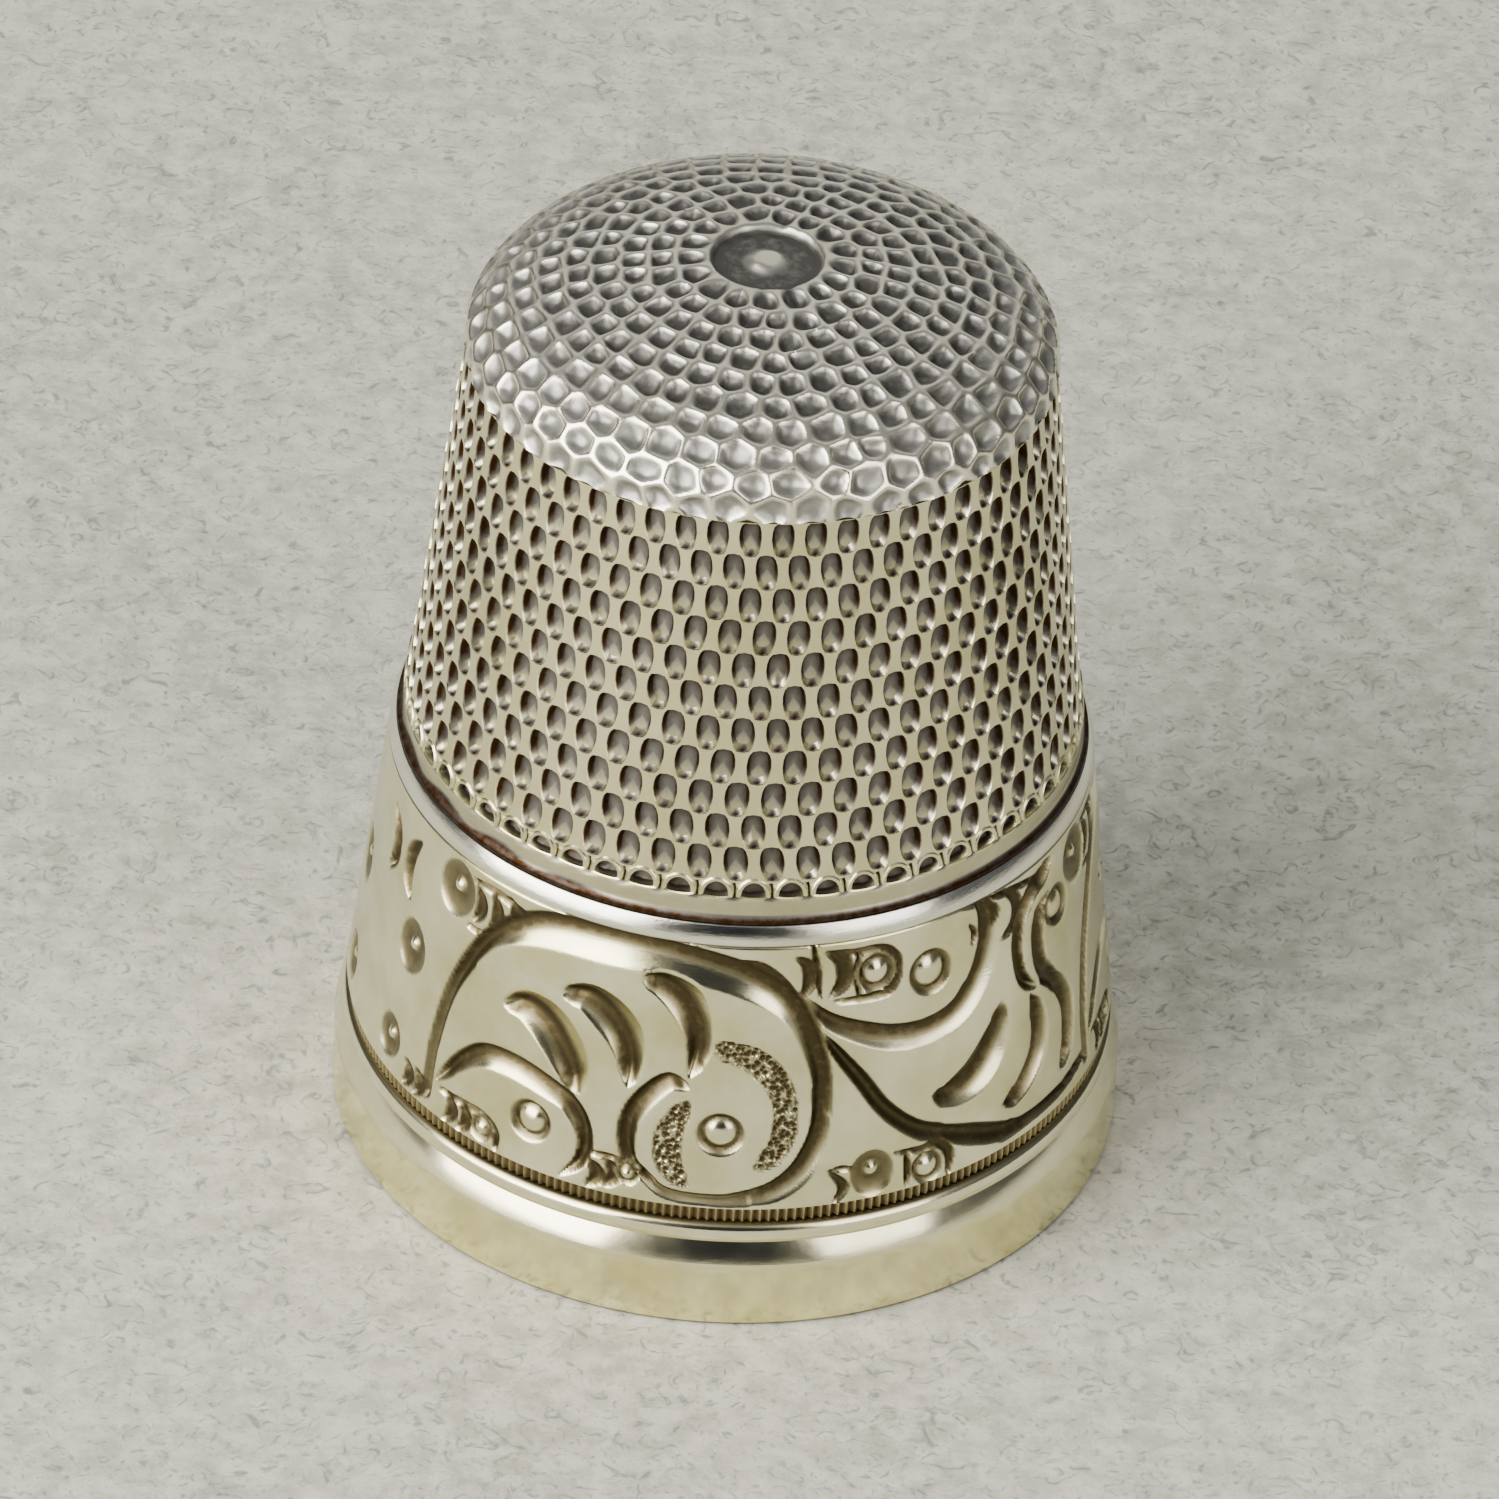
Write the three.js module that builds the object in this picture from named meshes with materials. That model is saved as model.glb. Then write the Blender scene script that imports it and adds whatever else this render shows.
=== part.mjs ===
// A silver sewing thimble, standing on its mouth with the crown up. Millimetres, +Z up.
// Every piece is turned about Z, and all of them share one straight tapered bore.
import * as THREE from "three";

// Overall sizes
const HEIGHT = 24.2; // ground to the rim of the disc at the apex
const MOUTH_RADIUS = 8.75; // bore at the ground
const BORE_TOP_RADIUS = 6.45; // bore where the crown closes it

// Crown
const CROWN_RISE = 2.45; // height of the domed part, from its edge to the rim of the disc
const CROWN_EDGE = 0.2; // height of the upright edge that stands over the wall
const CROWN_THICKNESS = 0.5; // the same at its edge and under the disc
const BOSS_RADIUS = 1.45; // the plain sunken disc at the apex
const BOSS_DEPTH = 0.14;

// Knurled side wall
const CROWN_OVERHANG = 0.12; // how far the crown's edge stands proud of the wall
const WALL_FOOT_THICKNESS = 0.53; // metal at the bottom of the knurling
const COVE_TOP = 11.5; // height where the knurling ends and the cove begins
const COVE_HEIGHT = 0.5;
const COVE_REACH = 0.23; // how far the cove flares out

// Half-round bead between the wall and the band
const BEAD_HEIGHT = 0.5;
const BEAD_PROUD = 0.12; // how far it bulges past the cove's lower edge
const BEAD_SEAT = 0.08; // how far its top and bottom faces lie inside the cove's lower edge

// Chased band
const BAND_STEP = 0.05; // the band's top edge, proud of the bead's seat
const BAND_FOOT_THICKNESS = 0.844; // metal at the band's lower edge
const BAND_EDGE_ROUND = 0.12; // bevel on the band's upper edge

// Milled wire, a thin ring with upright reeds
const WIRE_HEIGHT = 0.4;
const WIRE_INSET = 0.04; // how far the reeds' crests lie inside the band's lower edge
const REEDS = 276;
const REED_DEPTH = 0.09;

// Foot rim
const FOOT_HEIGHT = 2.86;
const FOOT_TAPER = 0.12; // how much narrower the flank is under its shoulder than at the ground
const FOOT_SHOULDER_DROP = 0.9; // height of the round shoulder above the flank
const FOOT_SHOULDER_REACH = 0.18; // how far the shoulder rolls out, from its top to the flank
const FOOT_LEDGE = 0.02; // how far the top of the shoulder stands outside the reeds' crests
const FOOT_EDGE_ROUND = 0.14; // bevel on the edge that meets the ground

const SOLDER_GAP = 0.03; // thickness of the seam between two pieces
const SEGMENTS = 72;
const ARC_STEPS = 6;
const DOME_STEPS = 11;

// Heights of the seams, from the ground up
const WIRE_BOTTOM = FOOT_HEIGHT + SOLDER_GAP;
const BAND_BOTTOM = WIRE_BOTTOM + WIRE_HEIGHT + SOLDER_GAP;
const COVE_BOTTOM = COVE_TOP - COVE_HEIGHT;
const BEAD_TOP = COVE_BOTTOM - SOLDER_GAP;
const BEAD_BOTTOM = BEAD_TOP - BEAD_HEIGHT;
const BAND_TOP = BEAD_BOTTOM - SOLDER_GAP;
const CROWN_SHOULDER = HEIGHT - CROWN_RISE;
const CROWN_BOTTOM = CROWN_SHOULDER - CROWN_EDGE;
const WALL_TOP = CROWN_BOTTOM - SOLDER_GAP;

// The bore narrows evenly from the mouth to the underside of the crown.
function boreRadius(z) {
  return MOUTH_RADIUS + ((BORE_TOP_RADIUS - MOUTH_RADIUS) * z) / CROWN_BOTTOM;
}

// Outside radii, from the bore out and from each piece to the next one down
const CROWN_RADIUS = BORE_TOP_RADIUS + CROWN_THICKNESS;
const WALL_FOOT_RADIUS = boreRadius(COVE_TOP) + WALL_FOOT_THICKNESS;
const BAND_FOOT_RADIUS = boreRadius(BAND_BOTTOM) + BAND_FOOT_THICKNESS;
const WALL_TOP_RADIUS = CROWN_RADIUS - CROWN_OVERHANG;
const COVE_FOOT_RADIUS = WALL_FOOT_RADIUS + COVE_REACH;
const BEAD_SEAT_RADIUS = COVE_FOOT_RADIUS - BEAD_SEAT;
const BAND_TOP_RADIUS = BEAD_SEAT_RADIUS + BAND_STEP + BAND_EDGE_ROUND;
const WIRE_CREST_RADIUS = BAND_FOOT_RADIUS - WIRE_INSET;
const SHOULDER_TOP_RADIUS = WIRE_CREST_RADIUS + FOOT_LEDGE;
const FLANK_TOP_RADIUS = SHOULDER_TOP_RADIUS + FOOT_SHOULDER_REACH;
const FOOT_RADIUS = FLANK_TOP_RADIUS + FOOT_TAPER;

const silver = { color: 0xc9c3ac, roughness: 0.24, metalness: 1 };
const FINISH = {
  crown: { ...silver, color: 0xb9b8b3, roughness: 0.32 },
  side_wall: { ...silver, color: 0xbfb79e, roughness: 0.3 },
  upper_bead: { ...silver, roughness: 0.12 },
  band: silver,
  milled_wire: { ...silver, color: 0xa79f84, roughness: 0.35 },
  foot_rim: { ...silver, color: 0xd0c9ab, roughness: 0.14 },
};

// A quarter of an ellipse: points about (r, z) from one angle to the other, in degrees.
function arc(r, z, reachR, reachZ, from, to, steps = ARC_STEPS) {
  const points = [];
  for (let i = 0; i <= steps; i++) {
    const a = THREE.MathUtils.degToRad(from + ((to - from) * i) / steps);
    points.push([r + reachR * Math.cos(a), z + reachZ * Math.sin(a)]);
  }
  return points;
}

// Turns a closed outline of [radius, height] points, listed upwards on its outside, about Z.
function turned(outline) {
  const points = outline.map(([r, z]) => new THREE.Vector2(r, z));
  return new THREE.LatheGeometry(points, SEGMENTS).rotateX(Math.PI / 2);
}

// A turned ring whose inside is the bore, given only its outside from the bottom up.
function sleeve(outside) {
  const bottom = outside[0][1];
  const top = outside.at(-1)[1];
  const start = [boreRadius(bottom), bottom];
  return turned([start, ...outside, [boreRadius(top), top], start]);
}

function crown() {
  const domeAngle = Math.acos(BOSS_RADIUS / CROWN_RADIUS);
  const domeReach = CROWN_RISE / Math.sin(domeAngle);
  const domeEnd = THREE.MathUtils.radToDeg(domeAngle);
  const dome = arc(0, CROWN_SHOULDER, CROWN_RADIUS, domeReach, 0, domeEnd, DOME_STEPS);
  const bossFloor = HEIGHT - BOSS_DEPTH;
  const hollowRise = bossFloor - CROWN_THICKNESS - CROWN_BOTTOM;
  const underside = arc(0, CROWN_BOTTOM, BORE_TOP_RADIUS, hollowRise, 0, 90, DOME_STEPS).reverse();
  underside[0][0] = 0;
  const edge = [CROWN_RADIUS, CROWN_BOTTOM];
  return turned([...underside, edge, ...dome, [BOSS_RADIUS, bossFloor], [0, bossFloor]]);
}

function sideWall() {
  const cove = arc(COVE_FOOT_RADIUS, COVE_TOP, COVE_REACH, COVE_HEIGHT, 270, 180);
  return sleeve([...cove, [WALL_TOP_RADIUS, WALL_TOP]]);
}

function upperBead() {
  const reach = BEAD_SEAT + BEAD_PROUD;
  const middle = (BEAD_BOTTOM + BEAD_TOP) / 2;
  return sleeve(arc(BEAD_SEAT_RADIUS, middle, reach, BEAD_HEIGHT / 2, -90, 90, 2 * ARC_STEPS));
}

function band() {
  const edge = arc(
    BAND_TOP_RADIUS - BAND_EDGE_ROUND,
    BAND_TOP - BAND_EDGE_ROUND,
    BAND_EDGE_ROUND,
    BAND_EDGE_ROUND,
    0,
    90,
  );
  return sleeve([[BAND_FOOT_RADIUS, BAND_BOTTOM], ...edge]);
}

// The wire's section is upright, so it is a toothed ring cut to one height.
function milledWire() {
  const ring = new THREE.Shape();
  for (let i = 0; i < 2 * REEDS; i++) {
    const a = (Math.PI * i) / REEDS;
    const r = WIRE_CREST_RADIUS - (i % 2) * REED_DEPTH;
    if (i === 0) ring.moveTo(r, 0);
    else ring.lineTo(r * Math.cos(a), r * Math.sin(a));
  }
  const bore = new THREE.Path();
  bore.absarc(0, 0, boreRadius(WIRE_BOTTOM), 0, 2 * Math.PI, true);
  ring.holes.push(bore);
  const settings = { depth: WIRE_HEIGHT, bevelEnabled: false, curveSegments: SEGMENTS };
  return new THREE.ExtrudeGeometry(ring, settings).translate(0, 0, WIRE_BOTTOM);
}

function footRim() {
  const edge = arc(
    FOOT_RADIUS - FOOT_EDGE_ROUND,
    FOOT_EDGE_ROUND,
    FOOT_EDGE_ROUND,
    FOOT_EDGE_ROUND,
    270,
    360,
  );
  const shoulder = arc(
    SHOULDER_TOP_RADIUS,
    FOOT_HEIGHT - FOOT_SHOULDER_DROP,
    FOOT_SHOULDER_REACH,
    FOOT_SHOULDER_DROP,
    0,
    90,
  );
  return sleeve([...edge, ...shoulder]);
}

const PIECES = {
  crown,
  side_wall: sideWall,
  upper_bead: upperBead,
  band,
  milled_wire: milledWire,
  foot_rim: footRim,
};

const thimble = new THREE.Group();
for (const [name, make] of Object.entries(PIECES)) {
  const piece = new THREE.Mesh(make(), new THREE.MeshStandardMaterial(FINISH[name]));
  piece.name = name;
  thimble.add(piece);
}

export default thimble;
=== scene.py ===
"""A chased silver sewing thimble, standing on its mouth on a sheet of pale paper.

Lengths are named in millimetres and turned to metres by MM. Turns about Z are in degrees from the front, -Y,
and grow towards +X, to the right as seen from the front.
"""

import math

import bmesh
import bpy
import numpy as np
from mathutils import Matrix, Vector


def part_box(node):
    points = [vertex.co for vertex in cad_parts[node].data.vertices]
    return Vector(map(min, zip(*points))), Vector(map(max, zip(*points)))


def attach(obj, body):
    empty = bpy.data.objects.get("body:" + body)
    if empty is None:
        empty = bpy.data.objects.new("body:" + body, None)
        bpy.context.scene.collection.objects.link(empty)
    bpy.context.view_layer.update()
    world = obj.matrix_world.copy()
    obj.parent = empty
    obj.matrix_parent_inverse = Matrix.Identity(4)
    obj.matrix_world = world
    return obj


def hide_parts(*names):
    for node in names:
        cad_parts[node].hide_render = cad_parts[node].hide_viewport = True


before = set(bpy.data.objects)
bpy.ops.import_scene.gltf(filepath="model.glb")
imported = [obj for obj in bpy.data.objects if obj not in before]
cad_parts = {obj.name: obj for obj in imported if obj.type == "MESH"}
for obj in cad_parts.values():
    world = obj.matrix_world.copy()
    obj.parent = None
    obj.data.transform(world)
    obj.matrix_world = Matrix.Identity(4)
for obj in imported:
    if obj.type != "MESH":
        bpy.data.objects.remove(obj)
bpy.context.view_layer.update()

MM = 0.001


# ---------------------------------------------------------------- sizes from the frame, in mm

def extent(node):
    """Outer radius, lowest and highest height of a turned node."""
    low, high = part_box(node)
    return high.x / MM, low.z / MM, high.z / MM


CROWN_RADIUS, CROWN_BOTTOM, CROWN_TOP = extent("crown")
COVE_RADIUS, COVE_BOTTOM, WALL_TOP = extent("side_wall")
BEAD_RADIUS, BEAD_BOTTOM, BEAD_TOP = extent("upper_bead")
BAND_RADIUS, BAND_BOTTOM, BAND_TOP = extent("band")
WIRE_RADIUS, WIRE_BOTTOM, WIRE_TOP = extent("milled_wire")
FOOT_RADIUS, _, FOOT_TOP = extent("foot_rim")

MOUTH_RADIUS = 8.75  # bore at the ground
BORE_TOP_RADIUS = 6.45  # bore where the crown closes it


def bore(z):
    """The bore's radius at a height: it narrows evenly from the mouth to the underside of the crown."""
    return MOUTH_RADIUS + (BORE_TOP_RADIUS - MOUTH_RADIUS) * z / CROWN_BOTTOM


# ---------------------------------------------------------------- making and shaping pieces

def added(name):
    """The primitive just added, under its own name."""
    piece = bpy.context.object
    piece.name = name
    piece.data.name = name
    return piece


def move_points(piece, points):
    """Puts every vertex of a piece at its point, given in mm."""
    piece.data.vertices.foreach_set("co", (points * MM).astype(np.float32).ravel())
    piece.data.update()


def points_of(piece):
    """A piece's vertices as rows, in its own units."""
    flat = np.empty(len(piece.data.vertices) * 3, np.float32)
    piece.data.vertices.foreach_get("co", flat)
    return flat.reshape(-1, 3).astype(float)


def paint(piece, name, values):
    """Stores one number for each vertex, which a material reads by name."""
    layer = piece.data.attributes.new(name, "FLOAT", "POINT")
    layer.data.foreach_set("value", values.astype(np.float32))


def round_z(radius, degrees, z):
    """Points from their radius, turn and height."""
    turn = np.radians(degrees)
    return np.stack([radius * np.sin(turn), -radius * np.cos(turn), z], -1)


def seat(piece, node, material, crease=40):
    """Smooths a finished piece, gives it its metal and seats it on the object in place of its node."""
    bpy.ops.object.select_all(action="DESELECT")
    piece.select_set(True)
    bpy.context.view_layer.objects.active = piece
    bpy.ops.object.shade_smooth_by_angle(angle=math.radians(crease))
    piece.data.materials.clear()
    piece.data.materials.append(material)
    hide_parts(node)
    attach(piece, "root")


def turned(name, outline, columns):
    """A ring lathed about Z from a closed outline of (radius, z) rows. Returns the piece and its points as
    radius, degrees and z."""
    bpy.ops.object.select_all(action="DESELECT")
    bpy.ops.mesh.primitive_circle_add(vertices=len(outline))
    piece = added(name)
    move_points(piece, np.array([(radius, 0, z) for radius, z in outline]))
    lathe = piece.modifiers.new("lathe", "SCREW")
    lathe.angle = 2 * math.pi
    lathe.steps = columns
    lathe.use_merge_vertices = True
    lathe.merge_threshold = 0.0001 * MM
    bpy.ops.object.modifier_apply(modifier=lathe.name)
    bpy.ops.object.mode_set(mode="EDIT")
    bpy.ops.mesh.select_all(action="SELECT")
    bpy.ops.mesh.normals_make_consistent(inside=False)
    bpy.ops.object.mode_set(mode="OBJECT")
    x, y, z = (points_of(piece) / MM).T
    return piece, np.hypot(x, y), np.degrees(np.arctan2(x, -y)), z


def arc(radius, z, reach_r, reach_z, start, end, steps):
    """Outline rows on part of an ellipse, from one angle to another in degrees."""
    turn = np.radians(np.linspace(start, end, steps + 1))
    return list(zip(radius + reach_r * np.cos(turn), z + reach_z * np.sin(turn)))


def line(start, end, steps):
    """Outline rows along a straight line, its first point left out."""
    share = np.linspace(0, 1, steps + 1)[1:]
    return [(start[0] + (end[0] - start[0]) * s, start[1] + (end[1] - start[1]) * s) for s in share]


def ramp(value, low, high):
    """0 at low, 1 at high and smooth between."""
    share = np.clip((value - low) / (high - low), 0, 1)
    return share * share * (3 - 2 * share)


# ---------------------------------------------------------------- metal and paper

def linear(hex_colour):
    """An sRGB hex colour as linear RGBA."""
    parts = [int(hex_colour[i:i + 2], 16) / 255 for i in (1, 3, 5)]
    return (*[c / 12.92 if c <= 0.04045 else ((c + 0.055) / 1.055) ** 2.4 for c in parts], 1.0)


def node(tree, kind, sockets, output=0, **settings):
    """Adds a node with its settings. A socket is given a value, or the output that it is linked to. Returns
    one of the node's outputs, if it has any."""
    made = tree.nodes.new("ShaderNode" + kind)
    for key, value in settings.items():
        setattr(made, key, value)
    for key, value in sockets.items():
        if isinstance(value, bpy.types.NodeSocket):
            tree.links.new(value, made.inputs[key])
        else:
            made.inputs[key].default_value = value
    return made.outputs[output] if made.outputs else None


def span(low, high, to_low=0.0, to_high=1.0):
    """The sockets of a Map Range node."""
    return {"From Min": low, "From Max": high, "To Min": to_low, "To Max": to_high}


def empty_tree(holder):
    """The node tree of a material or a world, with nothing in it."""
    holder.use_nodes = True
    holder.node_tree.nodes.clear()
    return holder.node_tree


def sterling(name, bright, tarnish, film, oxide, polish=0.2, dull=0.3, wear=0.18, matted=False):
    """Sterling silver, silver with a little copper. Raised faces are rubbed bright and slightly warm, a
    yellow sulphide film lies in clouds over them, and brown-black sulphide stays where no finger reaches. The
    hollow value also carries painted shade along the foot's lower edge, and is lowered as a painted highlight
    on the knurls' lower sides."""
    metal = bpy.data.materials.new(name)
    tree = empty_tree(metal)
    place = node(tree, "TexCoord", {}, 3)
    hollow = node(tree, "Attribute", {}, 2, attribute_name="hollow")
    cloud = node(tree, "TexNoise", {"Vector": place, "Scale": 1 / (2.2 * MM), "Detail": 5, "Roughness": 0.6})
    grime = node(tree, "TexNoise", {"Vector": place, "Scale": 1 / (0.25 * MM), "Detail": 4, "Roughness": 0.65})
    clouded = node(tree, "MapRange", {"Value": cloud, **span(0.35, 0.7)})
    tinted = node(tree, "Mix", {0: clouded, 6: linear(bright), 7: linear(tarnish)}, 2, data_type="RGBA")
    rubbed = node(tree, "Attribute", {}, 2, attribute_name="rubbed")
    toned = node(tree, "Mix", {0: rubbed, 6: tinted, 7: linear(RUBBED)}, 2, data_type="RGBA")
    patchy = node(tree, "MapRange", {"Value": grime, **span(0.25, 0.7, 0.88, 1.12)})
    stain = node(tree, "Math", {0: hollow, 1: patchy}, operation="MULTIPLY")
    if matted:
        # Punch marks 0.13 mm apart, with a little sulphide in each.
        mat = node(tree, "Attribute", {}, 2, attribute_name="matting")
        punch = node(tree, "TexVoronoi", {"Vector": place, "Scale": 1 / (0.13 * MM)})
        pitted = node(tree, "MapRange", {"Value": punch, **span(0.35, 0.8, 1.15, 0.2)})
        stain = node(tree, "Mix", {0: mat, 2: stain, 3: pitted}, data_type="FLOAT")
    thin = node(tree, "MapRange", {"Value": stain, **span(0.08, 0.55)})
    filmed = node(tree, "Mix", {0: thin, 6: toned, 7: linear(film)}, 2, data_type="RGBA")
    thick = node(tree, "MapRange", {"Value": stain, **span(0.5, 1.0)})
    colour = node(tree, "Mix", {0: thick, 6: filmed, 7: linear(oxide)}, 2, data_type="RGBA")
    stained = node(tree, "MapRange", {"Value": stain, **span(0.1, 1.0)})
    fogged = node(tree, "MapRange", {"Value": cloud, **span(0.45, 0.8, 0, 0.3)})
    duller = node(tree, "Math", {0: stained, 1: fogged}, operation="MAXIMUM")
    rough = node(tree, "MapRange", {"Value": duller, **span(0, 1, polish, polish + dull)})
    # Handling scratches are about 0.01 mm wide. They are drawn 0.06 mm wide, so that they show at all.
    lengthened = node(tree, "Mapping", {"Vector": place, "Scale": (1, 1, 6), "Rotation": (0.5, 0.3, 0)})
    scratches = node(tree, "TexNoise",
                     {"Vector": lengthened, "Scale": 1 / (0.35 * MM), "Detail": 4, "Roughness": 0.75})
    normal = node(tree, "Bump", {"Height": scratches, "Strength": wear, "Distance": 0.02 * MM})
    # Knocks in use have left the surface very slightly uneven, over about 1.5 mm.
    knocks = node(tree, "TexNoise", {"Vector": place, "Scale": 1 / (1.5 * MM), "Detail": 2, "Roughness": 0.5})
    normal = node(tree, "Bump", {"Height": knocks, "Normal": normal, "Strength": 0.35, "Distance": 0.03 * MM})
    if matted:
        pits = node(tree, "Math", {0: mat, 1: punch}, operation="MULTIPLY")
        normal = node(tree, "Bump", {"Height": pits, "Normal": normal, "Strength": 1.0, "Distance": 0.06 * MM})
    shader = node(tree, "BsdfPrincipled",
                  {"Base Color": colour, "Roughness": rough, "Normal": normal, "Metallic": 1.0})
    node(tree, "OutputMaterial", {"Surface": shader})
    return metal


RUBBED = "#f3f2ef"  # silver rubbed clean by handling
WARM, TARNISH, FILM, OXIDE = "#efebca", "#cfc896", "#8d8566", "#463e2a"

worn_silver = sterling("Sterling silver, worn crown", "#fbf5e3", "#e9e1c8", "#b8b7b0", "#5d5c59", 0.23)
knurled_silver = sterling("Sterling silver, knurled", "#e8e2bd", "#cdc596", "#757472", "#36220f", 0.24)
polished_silver = sterling("Sterling silver, polished bead", "#f2f0e6", "#dcd8c6", "#6f6c66", "#2a2622", 0.13,
                           wear=0.3)
chased_silver = sterling("Sterling silver, chased", WARM, TARNISH, FILM, OXIDE, 0.17, matted=True)
milled_silver = sterling("Sterling silver, milled", "#d9d2ac", "#bfb688", "#8a7f5e", "#5a4a30", 0.3)
foot_silver = sterling("Sterling silver, plain foot", "#eee7b9", "#d9d093", FILM, OXIDE, 0.15, wear=0.08)


# ---------------------------------------------------------------- crown

DISC_RADIUS = 1.42  # edge of the sunken disc at the apex
DISC_FLOOR = 1.22
DISC_DEPTH = 0.2
DIMPLE_RING = 0.66  # distance from one ring of dimples to the next, along the dome
DIMPLE_PITCH = 0.9  # from one dimple to the next, round a ring
FIRST_RING = 1.82
CROWN_EDGE = 0.2
CROWN_DIMPLE_DEPTH = 0.19
FLOOR_LEAN = 0.09  # how steeply the floors of the dimples lean, on average
APEX_THICKNESS = 0.64  # metal between the apex and the hollow under it
DIMPLE_REACH = 0.62  # no dimple sinks the metal further than this from its middle
BOSS_RADIUS = 0.62  # the small boss left standing in the disc
SHOULDER_START, SHOULDER_END = 4.5, 6.8  # along the dome from the apex, where rubbing begins and is full


def crown_piece(columns=600, rows=116):
    """The domed crown: a sphere's rings laid along the dome, the edge and the hollow under it, then dimpled."""
    shoulder = CROWN_BOTTOM + CROWN_EDGE
    rise = (CROWN_TOP - shoulder) / math.sin(math.acos(DISC_RADIUS / CROWN_RADIUS))
    lean = np.linspace(0, math.pi / 2, 2000)  # from the apex out to the shoulder
    radius, z = CROWN_RADIUS * np.sin(lean), shoulder + rise * np.cos(lean)
    z = np.minimum(z, CROWN_TOP)
    length = np.concatenate([[0], np.cumsum(np.hypot(np.diff(radius), np.diff(z)))])
    along = np.linspace(0, length[-1], rows)
    dome_r, dome_z = np.interp(along, length, radius), np.interp(along, length, z)
    edge = line((CROWN_RADIUS, shoulder), (CROWN_RADIUS, CROWN_BOTTOM), 3)
    lip = line((CROWN_RADIUS, CROWN_BOTTOM), (BORE_TOP_RADIUS, CROWN_BOTTOM), 3)
    hollow_rise = CROWN_TOP - APEX_THICKNESS - CROWN_BOTTOM
    inside = arc(0, CROWN_BOTTOM, BORE_TOP_RADIUS, hollow_rise, 0, 90, 10)[1:]
    outline = np.array(list(zip(dome_r, dome_z)) + edge + lip + inside)

    bpy.ops.object.select_all(action="DESELECT")
    bpy.ops.mesh.primitive_uv_sphere_add(segments=columns, ring_count=len(outline) - 1)
    piece = added("dimpled_crown")
    start = points_of(piece)
    polar = np.arccos(np.clip(start[:, 2], -1, 1))
    station = np.rint(polar / math.pi * (len(outline) - 1)).astype(int)
    degrees = np.degrees(np.arctan2(start[:, 0], -start[:, 1]))

    down_edge = length[-1] + CROWN_EDGE * np.arange(1, 4) / 3
    travelled = np.concatenate([along, down_edge, np.full(len(outline) - rows - 3, length[-1] + 9)])[station]
    depth, hollow = crown_relief(travelled, degrees, outline[station, 0], length[-1])
    steepness = np.gradient(outline[:rows, 1], outline[:rows, 0] + 1e-9 * np.arange(rows))
    slope = np.zeros(len(outline))
    slope[:rows] = np.arctan(-np.clip(steepness, -50, 0))
    slope[rows:rows + 3] = math.pi / 2
    tilt = slope[station]
    r = outline[station, 0] + depth * np.sin(tilt)
    z = outline[station, 1] + depth * np.cos(tilt)
    move_points(piece, round_z(r, degrees, z))
    paint(piece, "hollow", hollow)
    return piece


def crown_relief(along, degrees, radius, full):
    """Depth of the crown's surface and how much oxide it holds: rings of hand-set dimples round a disc."""
    chance = np.random.default_rng(11)
    centres = []
    rings = int((full - FIRST_RING) / DIMPLE_RING) + 2
    for k in range(rings):
        s = FIRST_RING + k * DIMPLE_RING
        around = CROWN_RADIUS * math.sin(min(s / full, 1) * math.pi / 2)
        count = round(2 * math.pi * around / DIMPLE_PITCH)
        turn = (np.arange(count) + 0.5 * (k % 2) + chance.normal(0, 0.09, count)) * 360 / count
        for t in turn:
            place, size = s + chance.normal(0, 0.05), 1 + chance.normal(0, 0.07)
            centres.append((place, t, size, chance.normal(0, FLOOR_LEAN, 2)))
    nearest = np.full(len(along), 9.0)
    second = np.full(len(along), 9.0)
    lean = np.zeros(len(along))  # each dimple's floor leans its own way
    for s, t, size, (lean_down, lean_round) in centres:
        close = np.abs(along - s) < 1.2
        round_gap = np.radians((degrees[close] - t + 180) % 360 - 180) * radius[close]
        far = np.hypot((along[close] - s) * 1.05, round_gap * 0.9) / size
        second[close] = np.minimum(second[close], np.maximum(nearest[close], far))
        tipped = lean_down * (along[close] - s) + lean_round * round_gap
        lean[close] = np.where(far < nearest[close], tipped, lean[close])
        nearest[close] = np.minimum(nearest[close], far)
    # Some stretches were struck harder than others.
    uneven = np.sin(degrees * 0.21 + 3.1 * along) * np.sin(degrees * 0.34 - 2.3 * along)
    wall = (second - nearest) / 2  # distance from the ridge between two dimples
    inwards = wall / (wall + 0.7 * nearest + 1e-6) * ramp(DIMPLE_REACH - nearest, 0, 0.2)
    bowl = 1 - (1 - ramp(inwards, 0.04, 1.1)) ** 2
    outside = along < full + 1
    depth = (lean - CROWN_DIMPLE_DEPTH * (1 + 0.15 * uneven)) * bowl * outside
    sunk = ramp(DISC_RADIUS - radius, 0.05, DISC_RADIUS - DISC_FLOOR) * outside
    boss = ramp(BOSS_RADIUS - radius, 0, 0.4) * outside
    turn = np.radians(degrees)
    pitting = 0.02 * np.sin(9 * radius * np.cos(turn)) * np.sin(8 * radius * np.sin(turn))
    depth -= DISC_DEPTH * sunk * (1 - 0.85 * boss) + pitting * sunk
    rim_shade = ramp(radius, 0.95, DISC_FLOOR)
    in_disc = sunk * (0.95 + 0.25 * rim_shade) * (1 - boss)
    rubbed = 1 - 0.28 * ramp(along, SHOULDER_START, SHOULDER_END)  # the shoulder is brighter than the top
    hollow = np.maximum(ramp(inwards, 0.12, 0.42) * rubbed * outside, in_disc)
    return depth, hollow


# ---------------------------------------------------------------- knurled wall

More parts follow.
